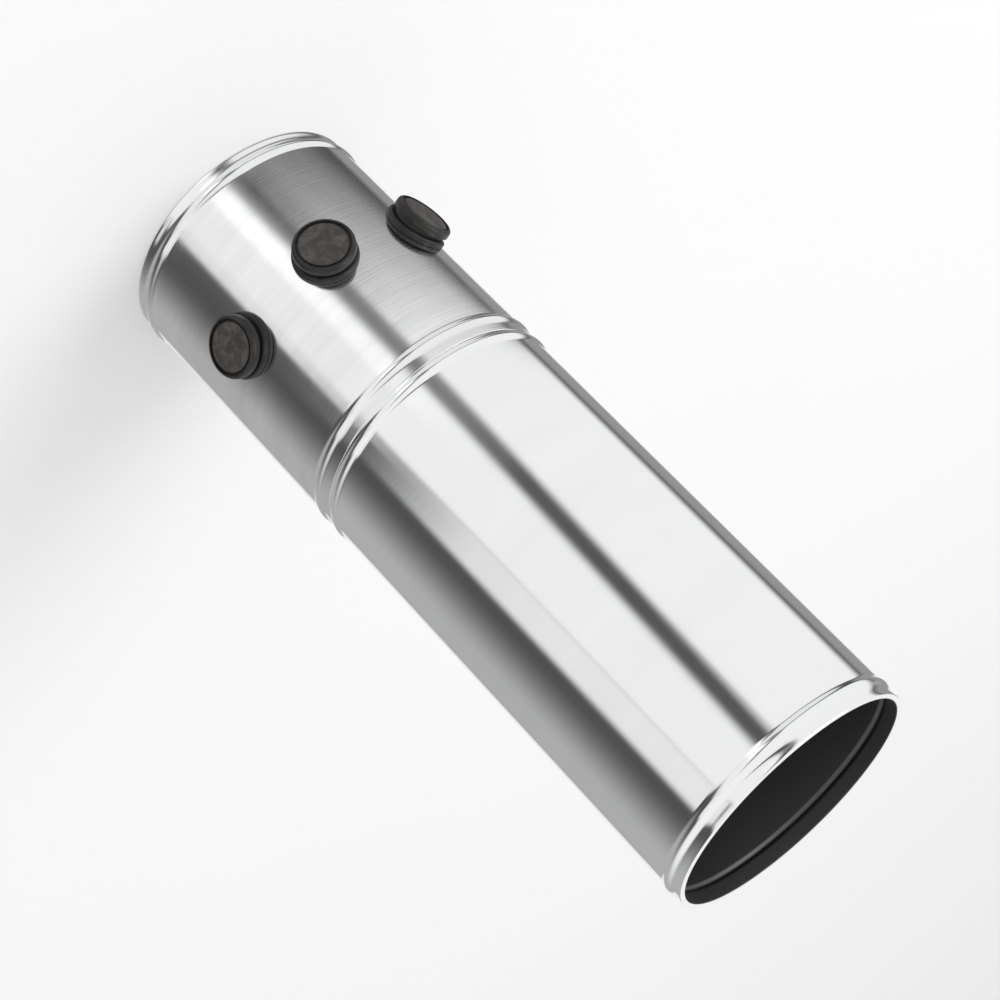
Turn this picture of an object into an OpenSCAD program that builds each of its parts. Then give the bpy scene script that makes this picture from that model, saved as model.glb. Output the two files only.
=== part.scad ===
// Cold air intake pipe: a sensor tube and a longer extension tube on one axis, with three plugged sensor ports.
// It stands on the sensor tube's open end. The axis is Z and the middle port faces -Y.

/* [Pipe] */
// Outside diameter of both tubes
pipe_d = 76; // [60:0.5:110]
// Wall thickness of both tubes
wall = 1.6; // [1:0.1:2.4]
// Length of the sensor tube, rim to rim
sensor_tube_l = 90; // [72:1:160]
// Length of the extension tube outside the sensor tube
extension_l = 144; // [60:1:300]
// Size of the small chamfer on every rim
rim_break = 0.3; // [0.1:0.05:0.5]

/* [Rolled beads] */
// Width of a bead along the tube
bead_w = 4; // [3:0.1:6]
// Height of a bead above the tube
bead_h = 0.6; // [0.5:0.1:1.5]
// Plain lip between a rim and its bead
lip_l = 3.2; // [2:0.1:8]

/* [Slip joint] */
// Length of the reduced neck inside the sensor tube
neck_l = 22; // [8:1:24]
// Radial clearance round the neck
neck_fit = 0.15; // [0.05:0.05:0.5]

/* [Sensor ports] */
// Distance from the slip joint back to the ports' centres
port_from_joint = 45.5; // [36:0.5:48]
// Angle between neighbouring ports
port_step = 52; // [40:1:90]
// Diameter of the hole in the tube
port_d = 17; // [12:0.5:19]

/* [Grommets] */
// How far the outer flange reaches past the hole
flange_reach = 0.9; // [0.5:0.1:1.5]
// Thickness of the outer flange
flange_t = 1.8; // [1:0.1:2.5]
// How far the inner flange reaches past the hole
inner_flange_reach = 1.1; // [0.5:0.1:2]
// Thickness of the inner flange
inner_flange_t = 1.5; // [1:0.1:2]
// Wall of the sleeve that lines the hole
sleeve_wall = 1; // [0.6:0.1:1.5]
// Clearance between a grommet and the tube
grommet_fit = 0.05; // [0.02:0.01:0.2]

/* [Plugs] */
// How far the head's edge lies inside the flange's edge
head_inset = 0.5; // [0:0.1:1]
// Thickness of the head
head_t = 2.8; // [2:0.1:4]
// Rounding of the head's edge
head_round = 1.3; // [0.4:0.1:1.6]
// Height of the groove between the flange and the head
groove_h = 0.9; // [0.5:0.1:1.5]
// Depth of the groove, measured in from the head's edge
groove_depth = 1.1; // [0.3:0.1:1.2]
// Gap between the inner flange and the retaining ridge
ridge_gap = 0.2; // [0.1:0.05:0.5]
// Height of the retaining ridge
ridge_t = 1.3; // [0.8:0.1:2]
// How far the ridge stands out from the stem
ridge_reach = 0.5; // [0.2:0.1:0.8]
// Wall round the recess in the stem's inner end
stem_wall = 3.4; // [1.2:0.1:4.5]
// Clearance between a plug and its grommet
plug_fit = 0.1; // [0.05:0.05:0.3]

/* [Hidden] */
$fn = 180;

metal_colour = [0.80, 0.80, 0.81];
grommet_colour = [0.10, 0.10, 0.10];
plug_colour = [0.17, 0.16, 0.16];

outer_r = pipe_d / 2;
inner_r = outer_r - wall;
seam_z = sensor_tube_l;
pipe_l = sensor_tube_l + extension_l;
neck_r = inner_r - neck_fit;
neck_inner_r = neck_r - wall;
shoulder_top_z = seam_z + wall;

// A bead is an arc of the given width and height, pressed outwards with a narrower groove behind it
bead_offset = lip_l + bead_w / 2;
groove_w = bead_w / 2;
bead_arc_r = arc_radius(bead_w, bead_h);
groove_arc_r = arc_radius(groove_w, bead_h);

ports = [0, 1, 2];
port_z = seam_z - port_from_joint;
port_r = port_d / 2;
sleeve_r = port_r - grommet_fit;
sleeve_bore_r = sleeve_r - sleeve_wall;
flange_seat_r = outer_r + grommet_fit;
flange_top_r = flange_seat_r + flange_t;
flange_edge_r = port_r + flange_reach;
inner_flange_top_r = inner_r - grommet_fit;
inner_flange_low_r = inner_flange_top_r - inner_flange_t;
inner_flange_edge_r = port_r + inner_flange_reach;

head_r = flange_edge_r - head_inset;
groove_floor_r = head_r - groove_depth;
stem_r = sleeve_bore_r - plug_fit;
recess_r = stem_r - stem_wall;
head_low_r = flange_top_r + groove_h;
head_top_r = head_low_r + head_t;
collar_seat_r = flange_top_r + plug_fit;
ridge_r = stem_r + ridge_reach;
// The inner flange curves inwards beside the ridge, so the ridge starts below its lowest point there
ridge_top_r = sqrt(pow(inner_flange_low_r, 2) - pow(ridge_r, 2)) - ridge_gap;
stem_end_r = ridge_top_r - ridge_t;

// Overlap that makes a cut run clear of the face it starts from
cut = 1;

// Radius of the arc that spans width w and rises by h
function arc_radius(w, h) = (w * w / 4 + h * h) / (2 * h);

// Turns a child that points up so that it points out of port i
module at_port(i) {
    rotate([0, 0, (i - 1) * port_step])
        translate([0, 0, port_z])
            rotate([90, 0, 0])
                children();
}

// Plain wall of the sensor tube with both rims broken
module sensor_section() {
    polygon([
        [inner_r + rim_break, 0], [outer_r - rim_break, 0], [outer_r, rim_break],
        [outer_r, seam_z - rim_break], [outer_r - rim_break, seam_z], [inner_r + rim_break, seam_z],
        [inner_r, seam_z - rim_break], [inner_r, rim_break]
    ]);
}

// Outside of a bead centred at z, down to the middle of the wall
module bead_section(z) {
    intersection() {
        translate([outer_r + bead_h - bead_arc_r, z])
            circle(r = bead_arc_r);
        translate([outer_r - wall / 2, z - bead_w / 2])
            square([wall + bead_h, bead_w]);
    }
}

// Groove that the bead leaves on the inside
module groove_section(z) {
    translate([inner_r + bead_h - groove_arc_r, z])
        circle(r = groove_arc_r);
}

// Presses a bead into the wall section at each height listed
module beaded_section(bead_zs) {
    difference() {
        union() {
            children();
            for (z = bead_zs)
                bead_section(z);
        }
        for (z = bead_zs)
            groove_section(z);
    }
}

module sensor_tube() {
    color(metal_colour)
        difference() {
            rotate_extrude()
                beaded_section([bead_offset, seam_z - bead_offset])
                    sensor_section();
            for (i = ports)
                at_port(i)
                    cylinder(h = outer_r + bead_h + cut, r = port_r);
        }
}

// The neck slides into the sensor tube until the shoulder meets its rim
module extension_section() {
    polygon([
        [neck_inner_r + rim_break, seam_z - neck_l], [neck_r - rim_break, seam_z - neck_l],
        [neck_r, seam_z - neck_l + rim_break], [neck_r, seam_z], [outer_r, seam_z],
        [outer_r, pipe_l - rim_break], [outer_r - rim_break, pipe_l], [inner_r + rim_break, pipe_l],
        [inner_r, pipe_l - rim_break], [inner_r, shoulder_top_z],
        [neck_inner_r, shoulder_top_z], [neck_inner_r, seam_z - neck_l + rim_break]
    ]);
}

module extension_tube() {
    color(metal_colour)
        rotate_extrude()
            beaded_section([seam_z + bead_w / 2, pipe_l - bead_offset])
                extension_section();
}

// Disc on port i whose two faces follow the tube's curve
module curved_disc(i, edge_r, low_r, high_r) {
    difference() {
        intersection() {
            at_port(i)
                cylinder(h = high_r + cut, r = edge_r);
            cylinder(h = sensor_tube_l, r = high_r);
        }
        translate([0, 0, -cut])
            cylinder(h = sensor_tube_l + 2 * cut, r = low_r);
    }
}

module sensor_grommet(i) {
    color(grommet_colour)
        difference() {
            union() {
                curved_disc(i, flange_edge_r, flange_seat_r, flange_top_r);
                curved_disc(i, sleeve_r, inner_flange_low_r, flange_top_r);
                curved_disc(i, inner_flange_edge_r, inner_flange_low_r, inner_flange_top_r);
            }
            at_port(i)
                cylinder(h = flange_top_r + cut, r = sleeve_bore_r);
        }
}

// Head with a rounded edge, drawn from the axis outwards
module head_section() {
    translate([0, head_low_r])
        square([head_r - head_round, head_t]);
    translate([0, head_low_r])
        square([head_r, head_t - head_round]);
    translate([head_r - head_round, head_top_r - head_round])
        circle(r = head_round);
}

module plug_body() {
    rotate_extrude()
        difference() {
            union() {
                head_section();
                translate([0, stem_end_r])
                    square([stem_r, head_low_r - stem_end_r]);
                translate([0, stem_end_r])
                    polygon([[0, 0], [stem_r, 0], [ridge_r, ridge_t / 2], [stem_r, ridge_t], [0, ridge_t]]);
            }
            translate([0, stem_end_r - cut])
                square([recess_r, flange_top_r - stem_end_r + cut]);
        }
}

// Collar that fills the groove's floor and sits on the flange's curve
module plug_collar(i) {
    difference() {
        at_port(i)
            cylinder(h = head_low_r, r = groove_floor_r);
        translate([0, 0, -cut])
            cylinder(h = sensor_tube_l + 2 * cut, r = collar_seat_r);
    }
}

module sensor_plug(i) {
    color(plug_colour)
        union() {
            at_port(i)
                plug_body();
            plug_collar(i);
        }
}

module sensor_grommet_1() { sensor_grommet(0); }
module sensor_grommet_2() { sensor_grommet(1); }
module sensor_grommet_3() { sensor_grommet(2); }
module sensor_plug_1() { sensor_plug(0); }
module sensor_plug_2() { sensor_plug(1); }
module sensor_plug_3() { sensor_plug(2); }

sensor_tube();
extension_tube();
sensor_grommet_1();
sensor_grommet_2();
sensor_grommet_3();
sensor_plug_1();
sensor_plug_2();
sensor_plug_3();
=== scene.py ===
# Cold air intake pipe: a brushed sensor tube with three plugged ports, slipped onto a polished extension tube
# Lengths are in metres. It stands on the sensor tube's open end, its axis is Z and its middle port faces -Y.
import math

import bpy
from mathutils import Matrix, Quaternion, Vector


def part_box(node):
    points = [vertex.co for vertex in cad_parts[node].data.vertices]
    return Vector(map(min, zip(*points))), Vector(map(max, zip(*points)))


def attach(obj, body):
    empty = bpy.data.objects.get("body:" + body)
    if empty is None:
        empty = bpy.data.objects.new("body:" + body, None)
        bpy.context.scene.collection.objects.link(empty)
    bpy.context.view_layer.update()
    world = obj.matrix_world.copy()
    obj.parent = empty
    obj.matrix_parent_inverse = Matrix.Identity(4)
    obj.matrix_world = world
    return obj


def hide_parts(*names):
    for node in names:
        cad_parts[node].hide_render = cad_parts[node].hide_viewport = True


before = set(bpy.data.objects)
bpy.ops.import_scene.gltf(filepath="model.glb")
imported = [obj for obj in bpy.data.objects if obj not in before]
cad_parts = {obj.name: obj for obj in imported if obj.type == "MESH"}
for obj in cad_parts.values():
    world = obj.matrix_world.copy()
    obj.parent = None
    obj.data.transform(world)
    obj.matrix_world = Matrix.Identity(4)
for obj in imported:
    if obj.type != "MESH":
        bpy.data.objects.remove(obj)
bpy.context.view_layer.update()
print("frame loaded:", len(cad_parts), "nodes")


# small helpers for modelling in edit mode

def clearSelection():
    bpy.ops.object.select_all(action="DESELECT")


def editMode():
    bpy.ops.object.mode_set(mode="EDIT")


def objectMode():
    bpy.ops.object.mode_set(mode="OBJECT")


def applyPlace():
    bpy.ops.object.transform_apply(location=True, rotation=True, scale=True)


def applyModifier(piece, kind, settings):
    modifier = piece.modifiers.new(kind.title(), kind)
    for key, value in settings.items():
        setattr(modifier, key, value)
    bpy.context.view_layer.objects.active = piece
    bpy.ops.object.modifier_apply(modifier=modifier.name)


def smoothByAngle(piece, degrees):
    clearSelection()
    piece.select_set(True)
    bpy.context.view_layer.objects.active = piece
    bpy.ops.object.shade_smooth_by_angle(angle=math.radians(degrees))


# outlines are lists of (radius, height) that run round a section

mergeDistance = 0.000002


def cornerArc(centreRadius, centreHeight, size, fromDegrees, toDegrees, steps=4):
    points = []
    for step in range(steps + 1):
        angle = math.radians(fromDegrees + (toDegrees - fromDegrees) * step / steps)
        points.append((centreRadius + size * math.cos(angle), centreHeight + size * math.sin(angle)))
    return points


# a bead from foot to foot, or only one half of it from its crest (from 0) or up to its crest (to 0)
def rolledBead(wallRadius, centre, width, rise, direction=1, fromShare=-1, toShare=1, halfSteps=8):
    points = []
    for step in range(fromShare * halfSteps, toShare * halfSteps + 1):
        across = step / halfSteps
        lift = rise * (1 + math.cos(math.pi * across)) / 2
        points.append((wallRadius + lift, centre + direction * across * width / 2))
    return points


def plainRings(radius, fromHeight, toHeight, spacing):
    count = max(1, round(abs(toHeight - fromHeight) / spacing))
    return [(radius, fromHeight + (toHeight - fromHeight) * step / count) for step in range(count + 1)]


lip = {
    "dip": 0.00015,
    "valleyShare": 0.44,  # of the way from the rim to the bead's crest
    "roundness": 1.5,
    "steps": 10,
}


# the lip at an open end dips a little before it rises into its bead, up to the bead's crest
def dippedLip(radius, rimHeight, crestHeight, rise):
    dip = lip["dip"]
    steps = lip["steps"]
    valley = rimHeight + (crestHeight - rimHeight) * lip["valleyShare"]
    points = []
    for step in range(steps + 1):
        share = step / steps
        drop = dip * math.sin(math.pi / 2 * share) ** lip["roundness"]
        points.append((radius - drop, rimHeight + (valley - rimHeight) * share))
    for step in range(1, steps + 1):
        share = step / steps
        lift = (dip + rise) * (1 - math.cos(math.pi * share)) / 2
        points.append((radius - dip + lift, valley + (crestHeight - valley) * share))
    return points


# turns an outline into a piece: a ring is pulled from point to point and scaled on the way
def turnPiece(name, outline, segments, isRing):
    clearSelection()
    radius, height = outline[0]
    bpy.ops.mesh.primitive_circle_add(vertices=segments, radius=radius, location=(0, 0, height))
    piece = bpy.context.object
    piece.name = piece.data.name = name
    applyPlace()
    editMode()
    bpy.ops.mesh.select_all(action="SELECT")
    for nextRadius, nextHeight in outline[1:]:
        bpy.ops.mesh.extrude_region_move(TRANSFORM_OT_translate={"value": (0, 0, nextHeight - height)})
        bpy.ops.transform.resize(value=(nextRadius / radius, nextRadius / radius, 1),
                                 center_override=(0, 0, nextHeight))
        radius, height = nextRadius, nextHeight
    bpy.ops.mesh.select_all(action="SELECT")
    bpy.ops.mesh.remove_doubles(threshold=mergeDistance)
    if not isRing:
        capOpenRings()
    bpy.ops.mesh.select_all(action="SELECT")
    bpy.ops.mesh.normals_make_consistent(inside=False)
    objectMode()
    return piece


# closes both end rings with a fan to a centre point
def capOpenRings():
    bpy.ops.mesh.select_mode(type="EDGE")
    bpy.ops.mesh.select_all(action="DESELECT")
    bpy.ops.mesh.select_non_manifold()
    bpy.ops.mesh.fill_holes(sides=0)
    bpy.ops.mesh.select_mode(type="FACE")
    bpy.ops.mesh.select_all(action="DESELECT")
    bpy.ops.mesh.select_face_by_sides(number=4, type="GREATER")
    bpy.ops.mesh.poke()
    bpy.ops.mesh.select_mode(type="VERT")


def finishPiece(piece, material, replacedNode):
    piece.data.materials.clear()
    piece.data.materials.append(material)
    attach(piece, "root")
    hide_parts(replacedNode)


# node helpers

def addNode(tree, kind, place, inputs=None, **settings):
    node = tree.nodes.new(kind)
    node.location = (place[0] * 200, place[1] * 200)
    for key, value in settings.items():
        setattr(node, key, value)
    for key, value in (inputs or {}).items():
        node.inputs[key].default_value = value
    return node


def mathNode(tree, operation, place, first, second=None):
    node = addNode(tree, "ShaderNodeMath", place, operation=operation)
    for index, value in enumerate((first, second)):
        if isinstance(value, (int, float)):
            node.inputs[index].default_value = value
        elif value is not None:
            tree.links.new(value, node.inputs[index])
    return node.outputs[0]


def rampNode(tree, place, value, fromMin, fromMax, toMin, toMax, interpolation="LINEAR"):
    node = addNode(tree, "ShaderNodeMapRange", place, interpolation_type=interpolation)
    tree.links.new(value, node.inputs["Value"])
    for key, item in (("From Min", fromMin), ("From Max", fromMax), ("To Min", toMin), ("To Max", toMax)):
        if isinstance(item, (int, float)):
            node.inputs[key].default_value = item
        else:
            tree.links.new(item, node.inputs[key])
    return node.outputs["Result"]


def newGroup(name, inputs, outputs):
    group = bpy.data.node_groups.new(name, "ShaderNodeTree")
    for socketName, value in inputs.items():
        socket = group.interface.new_socket(name=socketName, in_out="INPUT", socket_type="NodeSocketFloat")
        socket.default_value = value
    for socketName in outputs:
        group.interface.new_socket(name=socketName, in_out="OUTPUT", socket_type="NodeSocketFloat")
    start = addNode(group, "NodeGroupInput", (-4, 0))
    end = addNode(group, "NodeGroupOutput", (6, 0))
    return group, start.outputs, end.inputs


def placeGroup(tree, group, place, values):
    node = addNode(tree, "ShaderNodeGroup", place, node_tree=group)
    for key, value in values.items():
        node.inputs[key].default_value = value
    return node


# shared effects

streakSpread = 0.22


# fine lines that run round the tube, with a few broad streaks among them
def buildGrainGroup():
    group, given, out = newGroup("turnedGrain", {
        "Fine": 2600.0, "Broad": 170.0, "Around": 14.0, "Broad Share": 0.45,
    }, ["Height", "Streaks"])
    coords = addNode(group, "ShaderNodeTexCoord", (-4, 2)).outputs["Object"]
    parts = addNode(group, "ShaderNodeSeparateXYZ", (-3, 2))
    group.links.new(coords, parts.inputs[0])
    noises = []
    for row, scaleName in enumerate(("Fine", "Broad")):
        around = [mathNode(group, "MULTIPLY", (-2, 3 - row * 3 - axis), parts.outputs[axis], given["Around"])
                  for axis in range(2)]
        along = mathNode(group, "MULTIPLY", (-2, 1 - row * 3), parts.outputs[2], given[scaleName])
        joined = addNode(group, "ShaderNodeCombineXYZ", (-1, 2 - row * 3))
        for axis, value in enumerate(around + [along]):
            group.links.new(value, joined.inputs[axis])
        noise = addNode(group, "ShaderNodeTexNoise", (0, 2 - row * 3),
                        {"Scale": 1.0, "Detail": 3.0, "Roughness": 0.6})
        group.links.new(joined.outputs[0], noise.inputs["Vector"])
        noises.append(noise.outputs["Fac"])
    fine = mathNode(group, "SUBTRACT", (1, 2), noises[0], 0.5)
    broad = mathNode(group, "SUBTRACT", (1, -1), noises[1], 0.5)
    broadShare = mathNode(group, "MULTIPLY", (2, -1), broad, given["Broad Share"])
    both = mathNode(group, "ADD", (3, 1), fine, broadShare)
    group.links.new(both, out["Height"])
    group.links.new(rampNode(group, (3, -1), broad, -streakSpread, streakSpread, 0.0, 1.0), out["Streaks"])
    return group


# cloudy patches left by handling
def buildSmudgeGroup():
    group, given, out = newGroup("handlingSmudge", {"Scale": 26.0, "Start": 0.5, "End": 0.72}, ["Smudge"])
    coords = addNode(group, "ShaderNodeTexCoord", (-3, 1)).outputs["Object"]
    noise = addNode(group, "ShaderNodeTexNoise", (-1, 1),
                    {"Detail": 4.0, "Roughness": 0.62, "Distortion": 0.6})
    group.links.new(coords, noise.inputs["Vector"])
    group.links.new(given["Scale"], noise.inputs["Scale"])
    mask = rampNode(group, (1, 1), noise.outputs["Fac"], given["Start"], given["End"], 0.0, 1.0, "SMOOTHSTEP")
    group.links.new(mask, out["Smudge"])
    return group


# how far a point stands off the pipe's axis, as a mask between two radii
def buildReachGroup():
    group, given, out = newGroup("reachFromAxis", {"Low": 0.038, "High": 0.039}, ["Mask"])
    coords = addNode(group, "ShaderNodeTexCoord", (-3, 1)).outputs["Object"]
    addRadiusMask(group, coords, given, out)
    return group


# the same across a port: how far a point lies from the port's own axis
def buildPortReachGroup():
    group, given, out = newGroup("reachFromPort", {"Low": 0.0066, "High": 0.0077}, ["Mask"])
    place = addNode(group, "ShaderNodeAttribute", (-3, 1), attribute_name="portPlace").outputs["Vector"]
    addRadiusMask(group, place, given, out)
    return group


def addMask(group, value, start, end, out):
    mask = rampNode(group, (1, 1), value, start, end, 0.0, 1.0, "SMOOTHSTEP")
    group.links.new(mask, out["Mask"])


def addRadiusMask(group, place, given, out):
    flat = addNode(group, "ShaderNodeVectorMath", (-2, 1), operation="MULTIPLY")
    group.links.new(place, flat.inputs[0])
    flat.inputs[1].default_value = (1, 1, 0)
    length = addNode(group, "ShaderNodeVectorMath", (-1, 1), operation="LENGTH")
    group.links.new(flat.outputs[0], length.inputs[0])
    addMask(group, length.outputs["Value"], given["Low"], given["High"], out)


# marks the surfaces that face the pipe's axis, which are the insides of the tubes, where the aluminium gets
# painted shade and more roughness
def buildInsideGroup():
    group, given, out = newGroup("insideOfTube", {"Start": 0.3, "End": 0.8}, ["Mask"])
    coords = addNode(group, "ShaderNodeTexCoord", (-3, 1))
    flat = addNode(group, "ShaderNodeVectorMath", (-2, 1), operation="MULTIPLY")
    group.links.new(coords.outputs["Object"], flat.inputs[0])
    flat.inputs[1].default_value = (-1, -1, 0)
    inward = addNode(group, "ShaderNodeVectorMath", (-1, 1), operation="NORMALIZE")
    group.links.new(flat.outputs[0], inward.inputs[0])
    facing = addNode(group, "ShaderNodeVectorMath", (0, 1), operation="DOT_PRODUCT")
    group.links.new(inward.outputs[0], facing.inputs[0])
    group.links.new(coords.outputs["Normal"], facing.inputs[1])
    addMask(group, facing.outputs["Value"], given["Start"], given["End"], out)
    return group


grainGroup = buildGrainGroup()
smudgeGroup = buildSmudgeGroup()
reachGroup = buildReachGroup()
portReachGroup = buildPortReachGroup()
insideGroup = buildInsideGroup()
print("shared effects built")


def newMaterial(name):
    material = bpy.data.materials.new(name)
    material.use_nodes = True
    tree = material.node_tree
    shader = tree.nodes["Principled BSDF"]
    return material, tree, shader


def mixColour(tree, place, factor, first, second):
    node = addNode(tree, "ShaderNodeMix", place, data_type="RGBA")
    tree.links.new(factor, node.inputs["Factor"])
    for socket, value in ((node.inputs[6], first), (node.inputs[7], second)):
        if isinstance(value, tuple):
            socket.default_value = (*value, 1)
        else:
            tree.links.new(value, socket)
    return node.outputs[2]


def addBump(tree, shader, height, look):
    bump = addNode(tree, "ShaderNodeBump", (-1, -3),
                   {"Strength": look["bumpStrength"], "Distance": look["bumpDepth"]})
    tree.links.new(height, bump.inputs["Height"])
    tree.links.new(bump.outputs["Normal"], shader.inputs["Normal"])


# aluminium of either tube, from the same effects with their own values, with painted shade on the inside
# walls
def aluminiumMaterial(name, look):
    material, tree, shader = newMaterial(name)
    grain = placeGroup(tree, grainGroup, (-4, 1), look["grain"])
    smudge = placeGroup(tree, smudgeGroup, (-4, -1), look["smudge"])
    crest = placeGroup(tree, reachGroup, (-4, -2), look["crest"])
    inside = placeGroup(tree, insideGroup, (-4, 3), {})
    streaked = mixColour(tree, (-3, 2), grain.outputs["Streaks"], look["dullColour"], look["brightColour"])
    # the inside walls take a dark colour that is painted shade inside the tube
    colour = mixColour(tree, (-2, 2), inside.outputs["Mask"], streaked, look["paintedInsideShade"])
    tree.links.new(colour, shader.inputs["Base Color"])
    streakRoughness = rampNode(tree, (-2, 0), grain.outputs["Streaks"], 0.0, 1.0,
                               look["roughness"] + look["streakRoughness"], look["roughness"])
    smudgeRoughness = mathNode(tree, "MULTIPLY", (-2, -1), smudge.outputs["Smudge"], look["smudgeRoughness"])
    crestRoughness = mathNode(tree, "MULTIPLY", (-2, -2), crest.outputs["Mask"], look["crestRoughness"])
    roughness = mathNode(tree, "ADD", (-1, 0), streakRoughness, smudgeRoughness)
    roughness = mathNode(tree, "ADD", (-1, -1), roughness, crestRoughness)
    insideRoughness = mathNode(tree, "MULTIPLY", (-2, -3), inside.outputs["Mask"], look["insideRoughness"])
    roughness = mathNode(tree, "ADD", (0, -1), roughness, insideRoughness)
    tree.links.new(roughness, shader.inputs["Roughness"])
    addBump(tree, shader, grain.outputs["Height"], look)
    shader.inputs["Metallic"].default_value = 1
    return material


brushedLook = {
    "grain": {"Fine": 2600.0, "Broad": 150.0, "Around": 16.0, "Broad Share": 0.5},
    "smudge": {"Scale": 24.0, "Start": 0.46, "End": 0.74},
    "crest": {"Low": 0.0381, "High": 0.0385},
    "dullColour": (0.83, 0.83, 0.835),
    "brightColour": (0.94, 0.94, 0.94),
    "roughness": 0.11,
    "streakRoughness": 0.045,
    "smudgeRoughness": 0.05,
    "crestRoughness": -0.03,
    # painted shade for the inside walls
    "paintedInsideShade": (0.11, 0.11, 0.113),
    "insideRoughness": 0.45,
    "bumpStrength": 0.35,
    "bumpDepth": 0.00002,
}

polishedLook = {
    "grain": {"Fine": 1900.0, "Broad": 90.0, "Around": 10.0, "Broad Share": 0.3},
    "smudge": {"Scale": 18.0, "Start": 0.5, "End": 0.78},
    "crest": {"Low": 0.0381, "High": 0.0385},
    "dullColour": (0.90, 0.90, 0.905),
    "brightColour": (0.93, 0.93, 0.935),
    "roughness": 0.095,
    "streakRoughness": 0.015,
    "smudgeRoughness": 0.02,
    "crestRoughness": 0.02,
    # painted shade for the inside walls
    "paintedInsideShade": (0.11, 0.11, 0.113),
    "insideRoughness": 0.45,
    "bumpStrength": 0.15,
    "bumpDepth": 0.00001,
}


# moulded rubber: fine grain, a dusty bloom, and a paler middle within the given distance from the port's axis
def rubberMaterial(name, look):
    material, tree, shader = newMaterial(name)
    coords = addNode(tree, "ShaderNodeTexCoord", (-6, 0)).outputs["Object"]
    bloom = placeGroup(tree, smudgeGroup, (-4, 1), look["bloom"])
    side = placeGroup(tree, portReachGroup, (-4, -1), look["side"])
    grain = addNode(tree, "ShaderNodeTexNoise", (-4, -3), {"Scale": look["grainScale"], "Detail": 3.0})
    tree.links.new(coords, grain.inputs["Vector"])
    face = mixColour(tree, (-2, 2), bloom.outputs["Smudge"], look["faceColour"], look["faceBloomColour"])
    edge = mixColour(tree, (-2, 1), bloom.outputs["Smudge"], look["colour"], look["bloomColour"])
    colour = mixColour(tree, (-1, 2), side.outputs["Mask"], face, edge)
    tree.links.new(colour, shader.inputs["Base Color"])
    roughness = rampNode(tree, (-1, 0), side.outputs["Mask"], 0.0, 1.0,
                         look["faceRoughness"], look["roughness"])
    tree.links.new(roughness, shader.inputs["Roughness"])
    addBump(tree, shader, grain.outputs["Fac"], look)
    shader.inputs["Specular IOR Level"].default_value = look["specular"]
    return material


grommetLook = {
    "bloom": {"Scale": 120.0, "Start": 0.45, "End": 0.8},
    "side": {"Low": 0.0080, "High": 0.0086},
    "colour": (0.014, 0.014, 0.014),
    "bloomColour": (0.035, 0.034, 0.033),
    "faceColour": (0.010, 0.010, 0.010),
    "faceBloomColour": (0.020, 0.020, 0.020),
    "grainScale": 2400.0,
    "roughness": 0.42,
    "faceRoughness": 0.5,
    "specular": 0.3,
    "bumpStrength": 0.25,
    "bumpDepth": 0.00006,
}

plugLook = {
    "bloom": {"Scale": 330.0, "Start": 0.34, "End": 0.74},
    "side": {"Low": 0.0067, "High": 0.0072},
    "colour": (0.010, 0.010, 0.010),
    "bloomColour": (0.024, 0.023, 0.022),
    "faceColour": (0.038, 0.033, 0.030),
    "faceBloomColour": (0.088, 0.078, 0.070),
    "grainScale": 2000.0,
    "roughness": 0.42,
    "faceRoughness": 0.55,
    "specular": 0.35,
    "bumpStrength": 0.35,
    "bumpDepth": 0.00006,
}

brushedAluminium = aluminiumMaterial("brushedAluminium", brushedLook)
polishedAluminium = aluminiumMaterial("polishedAluminium", polishedLook)
grommetRubber = rubberMaterial("grommetRubber", grommetLook)
plugRubber = rubberMaterial("plugRubber", plugLook)
print("materials built")


# sizes that both tubes and their fittings share, set against the frame

pipe = {
    "wall": 0.0016,
    "rimBreak": 0.0003,
    "beadRise": 0.0006,
    "beadWidth": 0.004,
    "grooveWidth": 0.0024,
    "lip": 0.0032,
    "edgeRing": 0.0002,  # from the end of a plain stretch to its first ring
    "segments": 288,
}

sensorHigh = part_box("sensor_tube")[1]
extensionLow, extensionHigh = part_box("extension_tube")
outerRadius = sensorHigh.x - pipe["beadRise"]
innerRadius = outerRadius - pipe["wall"]
seamHeight = sensorHigh.z
pipeLength = extensionHigh.z
beadOffset = pipe["lip"] + pipe["beadWidth"] / 2


# a plain stretch of wall between two shaped ones, with a ring close to each end that keeps its shading even
def plainWall(radius, fromHeight, toHeight, spacing=0.02):
    edge = math.copysign(pipe["edgeRing"], toHeight - fromHeight)
    return plainRings(radius, fromHeight + edge, toHeight - edge, spacing)


# sensor tube: an open tube with a bead at each end and three round ports

port = {
    "radius": 0.0085,
    "step": 52,  # degrees between neighbouring ports
    "cutterDepth": 0.012,
    "cutterSides": 128,
    "ringSpacing": 0.001,
}

plugLow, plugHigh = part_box("sensor_plug_2")
portHeight = (plugLow.z + plugHigh.z) / 2


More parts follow.
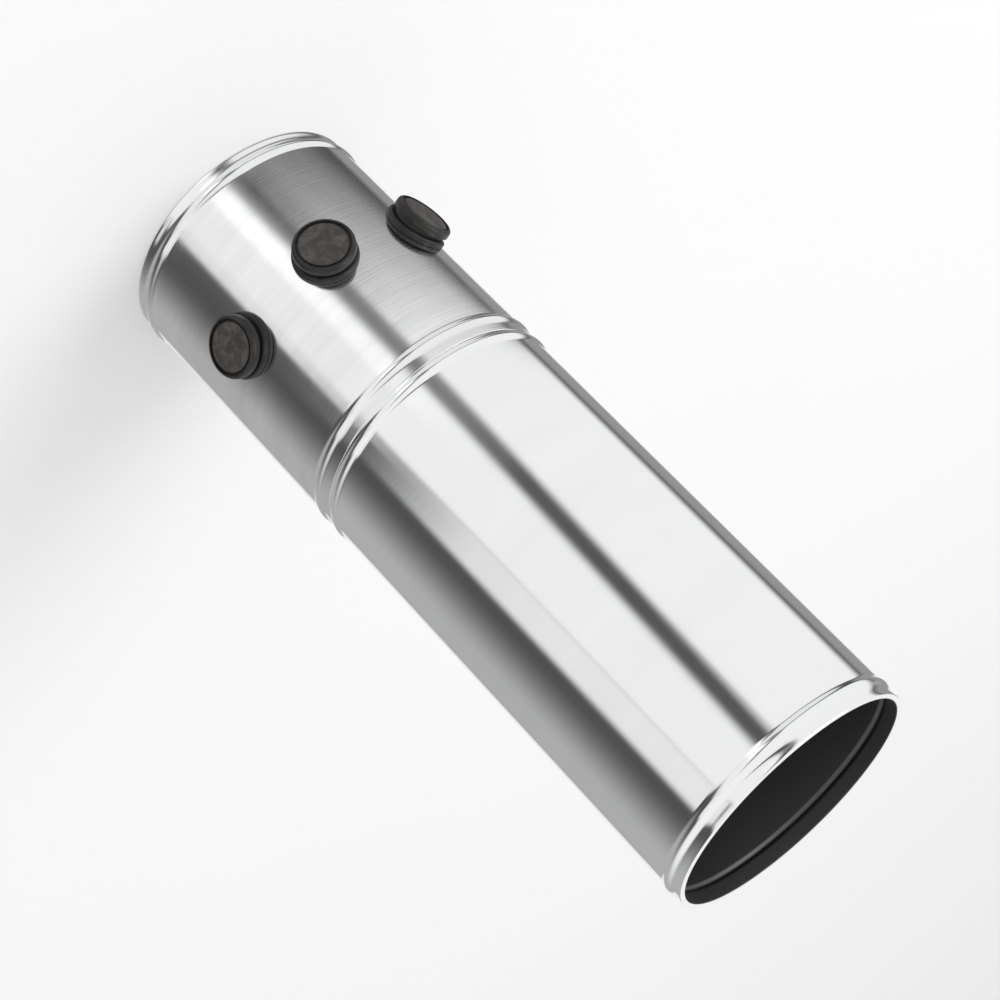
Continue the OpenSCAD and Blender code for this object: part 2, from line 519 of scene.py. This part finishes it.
def sensorOutline():
    rim = pipe["rimBreak"]
    top = seamHeight - rim
    low = beadOffset
    high = seamHeight - beadOffset
    half = pipe["beadWidth"] / 2
    grooveHalf = pipe["grooveWidth"] / 2
    outline = cornerArc(outerRadius - rim, rim, rim, -90, 0)
    outline += dippedLip(outerRadius, rim + pipe["edgeRing"], low, pipe["beadRise"])
    outline += rolledBead(outerRadius, low, pipe["beadWidth"], pipe["beadRise"], fromShare=0)[1:]
    outline += plainWall(outerRadius, low + half, high - half, port["ringSpacing"])
    outline += rolledBead(outerRadius, high, pipe["beadWidth"], pipe["beadRise"])
    outline += plainWall(outerRadius, high + half, top)
    outline += cornerArc(outerRadius - rim, top, rim, 0, 90)
    outline += cornerArc(innerRadius + rim, top, rim, 90, 180)
    outline += plainWall(innerRadius, top, high + grooveHalf)
    outline += rolledBead(innerRadius, high, pipe["grooveWidth"], pipe["beadRise"], -1)
    outline += plainWall(innerRadius, high - grooveHalf, low + grooveHalf, port["ringSpacing"])
    outline += rolledBead(innerRadius, low, pipe["grooveWidth"], pipe["beadRise"], -1)
    outline += plainWall(innerRadius, low - grooveHalf, rim)
    outline += cornerArc(innerRadius + rim, rim, rim, 180, 270)
    return outline + outline[:1]


def portMatrix(index):
    turn = Matrix.Rotation(math.radians((index - 1) * port["step"]), 4, "Z")
    return turn @ Matrix.Translation((0, 0, portHeight)) @ Matrix.Rotation(math.radians(90), 4, "X")


def cutPort(tube, index):
    clearSelection()
    bpy.ops.mesh.primitive_cylinder_add(vertices=port["cutterSides"], radius=port["radius"],
                                        depth=port["cutterDepth"], location=(0, 0, outerRadius))
    cutter = bpy.context.object
    applyPlace()
    cutter.matrix_world = portMatrix(index)
    applyPlace()
    applyModifier(tube, "BOOLEAN", {"object": cutter, "operation": "DIFFERENCE", "solver": "EXACT"})
    bpy.data.objects.remove(cutter)


sensorTube = turnPiece("sensorTubeShell", sensorOutline(), pipe["segments"], True)
for portIndex in range(3):
    cutPort(sensorTube, portIndex)
smoothByAngle(sensorTube, 32)
finishPiece(sensorTube, brushedAluminium, "sensor_tube")
print("sensor tube turned and drilled")


# extension tube: its reduced neck sits inside the sensor tube, and a bead stands right at the joint

neck = {
    "fit": 0.00015,
    "rim": 0.0003,
}


def extensionOutline():
    rim = pipe["rimBreak"]
    top = pipeLength - rim
    bottom = extensionLow.z
    neckRadius = innerRadius - neck["fit"]
    neckInner = neckRadius - pipe["wall"]
    shoulder = seamHeight + pipe["wall"]
    half = pipe["beadWidth"] / 2
    grooveHalf = pipe["grooveWidth"] / 2
    jointBead = seamHeight + half
    jointGroove = jointBead + pipe["wall"] / 2
    endBead = pipeLength - beadOffset
    outline = cornerArc(neckRadius - neck["rim"], bottom + neck["rim"], neck["rim"], -90, 0)
    outline += [(neckRadius, seamHeight)]
    outline += rolledBead(outerRadius, jointBead, pipe["beadWidth"], pipe["beadRise"])
    outline += plainWall(outerRadius, jointBead + half, endBead - half)
    outline += rolledBead(outerRadius, endBead, pipe["beadWidth"], pipe["beadRise"], toShare=0)[:-1]
    outline += dippedLip(outerRadius, top - pipe["edgeRing"], endBead, pipe["beadRise"])[::-1]
    outline += cornerArc(outerRadius - rim, top, rim, 0, 90)
    outline += cornerArc(innerRadius + rim, top, rim, 90, 180)
    outline += plainWall(innerRadius, top, endBead + grooveHalf)
    outline += rolledBead(innerRadius, endBead, pipe["grooveWidth"], pipe["beadRise"], -1)
    outline += plainWall(innerRadius, endBead - grooveHalf, jointGroove + grooveHalf)
    outline += rolledBead(innerRadius, jointGroove, pipe["grooveWidth"], pipe["beadRise"], -1)
    outline += cornerArc(innerRadius - rim, shoulder + rim, rim, 0, -90)
    outline += cornerArc(neckInner + rim, bottom + rim, rim, 180, 270)
    return outline + outline[:1]


extensionTube = turnPiece("extensionTubeShell", extensionOutline(), pipe["segments"], True)
smoothByAngle(extensionTube, 32)
finishPiece(extensionTube, polishedAluminium, "extension_tube")
print("extension tube turned")


# grommets: a flange each side of the wall, both curved to the tube, joined by a sleeve

grommet = {
    "fit": 0.00005,
    "sleeveWall": 0.001,
    "flangeReach": 0.0009,
    "flangeThickness": 0.0018,
    "flangeRound": 0.0007,
    "innerReach": 0.0011,
    "innerThickness": 0.0015,
    "innerRound": 0.0005,
    "edge": 0.0002,  # rounding of the sharper corners
    "innerEdge": 0.0001,
    "ringSpacing": 0.001,
    "segments": 128,
}


def grommetOutline():
    sleeve = port["radius"] - grommet["fit"]
    bore = sleeve - grommet["sleeveWall"]
    flangeEdge = port["radius"] + grommet["flangeReach"]
    innerEdge = port["radius"] + grommet["innerReach"]
    seat = outerRadius + grommet["fit"]
    top = seat + grommet["flangeThickness"]
    innerTop = innerRadius - grommet["fit"]
    innerLow = innerTop - grommet["innerThickness"]
    crown = grommet["flangeRound"]
    hem = grommet["innerRound"]
    edge = grommet["edge"]
    outline = [(bore, innerLow + hem)]
    outline += plainRings(bore, innerLow + 2 * hem, top - 2 * hem, grommet["ringSpacing"])
    outline += [(bore, top - edge), (bore + edge, top)]
    outline += cornerArc(flangeEdge - crown, top - crown, crown, 90, 0, 6)
    outline += cornerArc(flangeEdge - edge, seat + edge, edge, 0, -90, 3)
    outline += [(sleeve, seat), (sleeve, innerTop), (innerEdge - grommet["innerEdge"], innerTop)]
    outline += cornerArc(innerEdge - hem, innerLow + hem, hem, 0, -90, 4)
    outline += cornerArc(bore + hem, innerLow + hem, hem, 270, 180, 4)
    return outline


# lets a flat turned piece follow the tube: its height drops with the distance to the side
def layOnTube(piece, isCurved):
    for vertex in piece.data.vertices:
        if isCurved(vertex.co):
            vertex.co.z = math.sqrt(vertex.co.z ** 2 - vertex.co.x ** 2)


# keeps each point's place on its own port, so that a material can tell the head's face from its side
def keepPortPlace(piece):
    place = piece.data.attributes.new("portPlace", "FLOAT_VECTOR", "POINT")
    for index, vertex in enumerate(piece.data.vertices):
        place.data[index].vector = vertex.co


# one copy of a fitting for each port, every copy with its own mesh
def placeAtPorts(pattern, name, material, nodeName):
    for index in range(3):
        clearSelection()
        copy = pattern.copy()
        copy.data = pattern.data.copy()
        copy.name = copy.data.name = f"{name}{index + 1}"
        bpy.context.scene.collection.objects.link(copy)
        copy.select_set(True)
        bpy.context.view_layer.objects.active = copy
        copy.matrix_world = portMatrix(index)
        applyPlace()
        finishPiece(copy, material, f"{nodeName}_{index + 1}")
    bpy.data.objects.remove(pattern)


grommetPattern = turnPiece("grommetPattern", grommetOutline(), grommet["segments"], True)
keepPortPlace(grommetPattern)
layOnTube(grommetPattern, lambda point: True)
smoothByAngle(grommetPattern, 40)
placeAtPorts(grommetPattern, "portGrommet", grommetRubber, "sensor_grommet")
print("grommets seated in the ports")


# plugs: a head with a ring groove in its face, a waist, a stem through the grommet and a ridge inside

plug = {
    "fit": 0.0001,
    "headInset": 0.00051,
    "headThickness": 0.00279,
    "headRound": 0.0013,
    "lowRound": 0.0003,
    "grooveHeight": 0.0009,
    "grooveDepth": 0.0011,
    "discRadius": 0.0071,
    "discCrown": 0.0002,
    "discEdge": 0.0002,
    "ringDepth": 0.0007,
    "ringFrom": 81,  # degrees up the head's rounding where the ring groove ends
    "ridgeHeight": 0.0013,
    "ridgeReach": 0.0005,
    "ridgeGap": 0.0002,
    "stemWall": 0.0034,
    "stemTop": 0.0005,  # below the flange's top, where the stem's first ring lies
    "hubRadius": 0.0005,
    "ringSpacing": 0.001,
    "segments": 128,
}

# the collar's underside is the level ring outside this radius
collar = {
    "fromRadius": 0.0076,
    "tolerance": 0.00002,
}
discShares = (0.07, 0.25, 0.45, 0.65, 0.85)
flangeTop = outerRadius + grommet["fit"] + grommet["flangeThickness"]


def plugOutline():
    innerLow = innerRadius - grommet["fit"] - grommet["innerThickness"]
    head = port["radius"] + grommet["flangeReach"] - plug["headInset"]
    headLow = flangeTop + plug["grooveHeight"]
    headTop = headLow + plug["headThickness"]
    floor = head - plug["grooveDepth"]
    stem = port["radius"] - grommet["fit"] - grommet["sleeveWall"] - plug["fit"]
    ridge = stem + plug["ridgeReach"]
    ridgeTop = math.sqrt(innerLow ** 2 - ridge ** 2) - plug["ridgeGap"]
    stemEnd = ridgeTop - plug["ridgeHeight"]
    recess = stem - plug["stemWall"]
    disc = plug["discRadius"]
    edge = plug["discEdge"]
    discTop = headTop - plug["discCrown"]
    outline = [(disc * share, headTop - plug["discCrown"] * share ** 2) for share in discShares]
    outline += cornerArc(disc - edge, discTop - edge, edge, 80, 0, 4)
    outline += [(disc, headTop - plug["ringDepth"])]
    shoulder = cornerArc(head - plug["headRound"], headTop - plug["headRound"], plug["headRound"],
                         plug["ringFrom"], 0, 10)
    outline += [(shoulder[0][0], headTop - plug["ringDepth"])]
    outline += shoulder
    outline += cornerArc(head - plug["lowRound"], headLow + plug["lowRound"], plug["lowRound"], 0, -90, 3)
    outline += [(floor, headLow), (floor, flangeTop + plug["fit"]), (stem, flangeTop + plug["fit"])]
    outline += plainRings(stem, flangeTop - plug["stemTop"], ridgeTop, plug["ringSpacing"])
    outline += [(ridge, ridgeTop - plug["ridgeHeight"] / 2), (stem, stemEnd), (recess, stemEnd)]
    outline += [(recess, flangeTop), (plug["hubRadius"], flangeTop)]
    return outline


def isCollarSeat(point):
    isLevel = abs(point.z - flangeTop - plug["fit"]) < collar["tolerance"]
    return isLevel and math.hypot(point.x, point.y) > collar["fromRadius"]


plugPattern = turnPiece("plugPattern", plugOutline(), plug["segments"], False)
keepPortPlace(plugPattern)
layOnTube(plugPattern, isCollarSeat)
smoothByAngle(plugPattern, 40)
placeAtPorts(plugPattern, "portPlug", plugRubber, "sensor_plug")
print("plugs pushed in")


# plain pale floor

floorLook = {
    "size": 60,
    "colour": (0.86, 0.86, 0.86),
    "speckColour": (0.84, 0.84, 0.84),
}


def buildFloor():
    clearSelection()
    bpy.ops.mesh.primitive_plane_add(size=floorLook["size"], location=(0, 0, 0))
    floor = bpy.context.object
    floor.name = "paleFloor"
    material, tree, shader = newMaterial("paleFloor")
    coords = addNode(tree, "ShaderNodeTexCoord", (-5, 0)).outputs["Object"]
    noise = addNode(tree, "ShaderNodeTexNoise", (-4, 0), {"Scale": 3.0, "Detail": 2.0})
    tree.links.new(coords, noise.inputs["Vector"])
    colour = mixColour(tree, (-2, 1), noise.outputs["Fac"], floorLook["colour"], floorLook["speckColour"])
    tree.links.new(colour, shader.inputs["Base Color"])
    shader.inputs["Roughness"].default_value = 0.9
    shader.inputs["Specular IOR Level"].default_value = 0.1
    floor.data.materials.append(material)
    floor.visible_glossy = False  # the metal mirrors the soft panels below, not the floor
    floor.visible_shadow = False


buildFloor()


# studio: a white dome from above, and soft panels all round and below that the metal mirrors

studio = {
    "gapShade": 0.08,
    "domeLow": -4,
    "domeHigh": 18,
    "domeStrength": 0.95,
    "background": (0.93, 0.93, 0.93),
}

# each panel, in degrees: middle and half width round the pipe with a soft edge, lower and upper end with
# theirs, how much the lower end climbs for each degree to the left, and a strength
# a leaning panel's middle moves round with height, from the height given
panels = {
    "left": {"Middle": -58.0, "Half Width": 45.0, "Edge": 13.0, "Low": -29.2, "Low Edge": 1.4, "Climb": 0.05,
             "Strength": 0.86},
    "dusk": {"Middle": -66.0, "Half Width": 14.0, "Edge": 40.0, "Low": -35.0, "Low Edge": 9.0, "Climb": 0.04,
             "Strength": 0.65},
    "right": {"Middle": 22.0, "Half Width": 28.4, "Edge": 8.0, "Low": -70.0, "Low Edge": 10.0,
              "Strength": 0.84},
    "far": {"Middle": 65.0, "Half Width": 9.4, "Edge": 8.0, "Low": -27.0, "Low Edge": 4.0, "Strength": 0.77},
    "farLow": {"Middle": 56.0, "Half Width": 4.0, "Edge": 5.0, "Low": -70.0, "Low Edge": 10.0, "High": -26.0,
               "High Edge": 2.5, "Strength": 0.76},
    "limb": {"Middle": -132.0, "Half Width": 10.0, "Edge": 10.0,
             "Low": -70.0, "Low Edge": 10.0, "Strength": 0.23},
    "side": {"Middle": 150.0, "Half Width": 10.0, "Edge": 55.0,
             "Low": -90.0, "Low Edge": 10.0, "Strength": 0.36},
    "back": {"Middle": 195.0, "Half Width": 16.0, "Edge": 8.0,
             "Low": -70.0, "Low Edge": 10.0, "Strength": 0.79},
    "below": {"Middle": -20.0, "Half Width": 72.0, "Edge": 24.0, "Low": -100.0, "Low Edge": 5.0,
              "High": -37.0, "High Edge": 5.0, "Strength": 0.76},
}
glowStrip = {"Middle": 10.0, "Half Width": 5.0, "Edge": 7.0, "Low": -70.0, "Low Edge": 10.0, "High": -25.0,
             "High Edge": 7.0, "Strength": 0.30}
darkGap = {"Middle": 16.5, "Half Width": 3.6, "Lean": 1.0, "Lean From": -26.5, "Edge": 9.0, "Low": -62.0,
           "Low Edge": 8.0, "Strength": 0.80}
upperGap = {**darkGap, "Low": -29.0, "Low Edge": 5.0, "Strength": 1.0}


def buildPanelGroup():
    group, given, out = newGroup("softPanel", {
        "Round": 0.0, "Rise": 0.0, "Middle": 0.0, "Half Width": 20.0, "Edge": 5.0,
        "Lean": 0.0, "Lean From": -90.0,
        "Low": -30.0, "Low Edge": 6.0, "High": 100.0, "High Edge": 6.0, "Climb": 0.0, "Strength": 1.0,
    }, ["Light"])
    leanRise = mathNode(group, "MAXIMUM", (-3, 3), given["Rise"], given["Lean From"])
    leaned = mathNode(group, "MULTIPLY", (-3, 2), leanRise, given["Lean"])
    middle = mathNode(group, "ADD", (-2, 2), leaned, given["Middle"])
    away = mathNode(group, "SUBTRACT", (-2, 1), given["Round"], middle)
    away = mathNode(group, "WRAP", (-1, 1), away, 180.0)
    group.nodes[-1].inputs[2].default_value = -180.0
    aside = mathNode(group, "ABSOLUTE", (0, 1), away)
    outside = mathNode(group, "ADD", (0, 0), given["Half Width"], given["Edge"])
    side = rampNode(group, (1, 1), aside, given["Half Width"], outside, 1.0, 0.0, "SMOOTHSTEP")
    climbed = mathNode(group, "MULTIPLY", (-1, -1), away, given["Climb"])
    rise = mathNode(group, "ADD", (0, -1), given["Rise"], climbed)
    lowEnd = mathNode(group, "ADD", (0, -2), given["Low"], given["Low Edge"])
    aboveLow = rampNode(group, (1, -1), rise, given["Low"], lowEnd, 0.0, 1.0, "SMOOTHSTEP")
    highEnd = mathNode(group, "SUBTRACT", (0, -3), given["High"], given["High Edge"])
    belowHigh = rampNode(group, (1, -3), given["Rise"], highEnd, given["High"], 1.0, 0.0, "SMOOTHSTEP")
    light = mathNode(group, "MULTIPLY", (2, 0), side, aboveLow)
    light = mathNode(group, "MULTIPLY", (3, 0), light, belowHigh)
    light = mathNode(group, "MULTIPLY", (4, 0), light, given["Strength"])
    group.links.new(light, out["Light"])
    return group


def buildWorld():
    world = bpy.data.worlds.new("studioDome")
    bpy.context.scene.world = world
    world.use_nodes = True
    tree = world.node_tree
    tree.nodes.clear()
    coords = addNode(tree, "ShaderNodeTexCoord", (-8, 0)).outputs["Generated"]
    parts = addNode(tree, "ShaderNodeSeparateXYZ", (-7, 0))
    tree.links.new(coords, parts.inputs[0])
    front = mathNode(tree, "MULTIPLY", (-6, 1), parts.outputs["Y"], -1.0)
    roundAngle = mathNode(tree, "ARCTAN2", (-5, 1), parts.outputs["X"], front)
    roundDegrees = mathNode(tree, "DEGREES", (-4, 1), roundAngle)
    rise = mathNode(tree, "ARCSINE", (-6, -1), parts.outputs["Z"])
    riseDegrees = mathNode(tree, "DEGREES", (-5, -1), rise)
    panelGroup = buildPanelGroup()
    lights = {}
    strips = {**panels, "glow": glowStrip, "gap": darkGap, "upperGap": upperGap}
    for row, (name, values) in enumerate(strips.items()):
        panel = placeGroup(tree, panelGroup, (-2, 5 - row), values)
        panel.label = name
        tree.links.new(roundDegrees, panel.inputs["Round"])
        tree.links.new(riseDegrees, panel.inputs["Rise"])
        lights[name] = panel.outputs["Light"]
    total = 0.0
    for row, name in enumerate(panels):
        total = mathNode(tree, "MAXIMUM", (-1, 5 - row), lights[name], total)
    total = mathNode(tree, "ADD", (0, 3), total, lights["glow"])
    gap = mathNode(tree, "MAXIMUM", (-1, 6), lights["gap"], lights["upperGap"])
    shown = mathNode(tree, "SUBTRACT", (0, 2), 1.0, gap)
    total = mathNode(tree, "MULTIPLY", (0, 1), total, shown)
    total = mathNode(tree, "ADD", (0, 0), total, studio["gapShade"])
    dome = rampNode(tree, (0, -2), riseDegrees, studio["domeLow"], studio["domeHigh"], 0.0, 1.0, "SMOOTHSTEP")
    lit = addNode(tree, "ShaderNodeMix", (1, 0), data_type="FLOAT")
    tree.links.new(dome, lit.inputs[0])
    tree.links.new(total, lit.inputs[2])
    lit.inputs[3].default_value = studio["domeStrength"]
    seen = addNode(tree, "ShaderNodeLightPath", (1, 2)).outputs["Is Camera Ray"]
    colour = mixColour(tree, (3, 0), seen, lit.outputs[0], studio["background"])
    background = addNode(tree, "ShaderNodeBackground", (4, 0))
    tree.links.new(colour, background.inputs["Color"])
    output = addNode(tree, "ShaderNodeOutputWorld", (5, 0))
    tree.links.new(background.outputs[0], output.inputs["Surface"])


buildWorld()

keyLight = {
    "place": (-0.9, -0.5, 1.5),
    "size": 1.1,
    "watts": 9,
}


def addKeyLight():
    clearSelection()
    bpy.ops.object.light_add(type="AREA", location=keyLight["place"])
    light = bpy.context.object
    light.name = "keyLight"
    light.data.shape = "DISK"
    light.data.size = keyLight["size"]
    light.data.energy = keyLight["watts"]
    aim = Vector((0, 0, pipeLength / 2)) - Vector(keyLight["place"])
    light.rotation_mode = "QUATERNION"
    light.rotation_quaternion = aim.to_track_quat("-Z", "Y")


addKeyLight()
bpy.context.scene.view_settings.view_transform = "Standard"
print("floor and studio built")


# camera: from the photograph's direction, turned so that the pipe runs down to the right

cameraSetup = {
    "place": (0.1921, -0.5745, 0.3833),
    "lens": 87,
    "roll": 136.0,
}


def addCamera():
    clearSelection()
    bpy.ops.object.camera_add(location=cameraSetup["place"])
    camera = bpy.context.object
    camera.name = "pipeCamera"
    camera.data.lens = cameraSetup["lens"]
    aim = Vector((0, 0, pipeLength / 2)) - Vector(cameraSetup["place"])
    level = aim.to_track_quat("-Z", "Y")
    roll = Quaternion((0, 0, 1), math.radians(cameraSetup["roll"]))
    camera.rotation_mode = "QUATERNION"
    camera.rotation_quaternion = level @ roll
    bpy.context.scene.camera = camera


addCamera()
print("camera set")
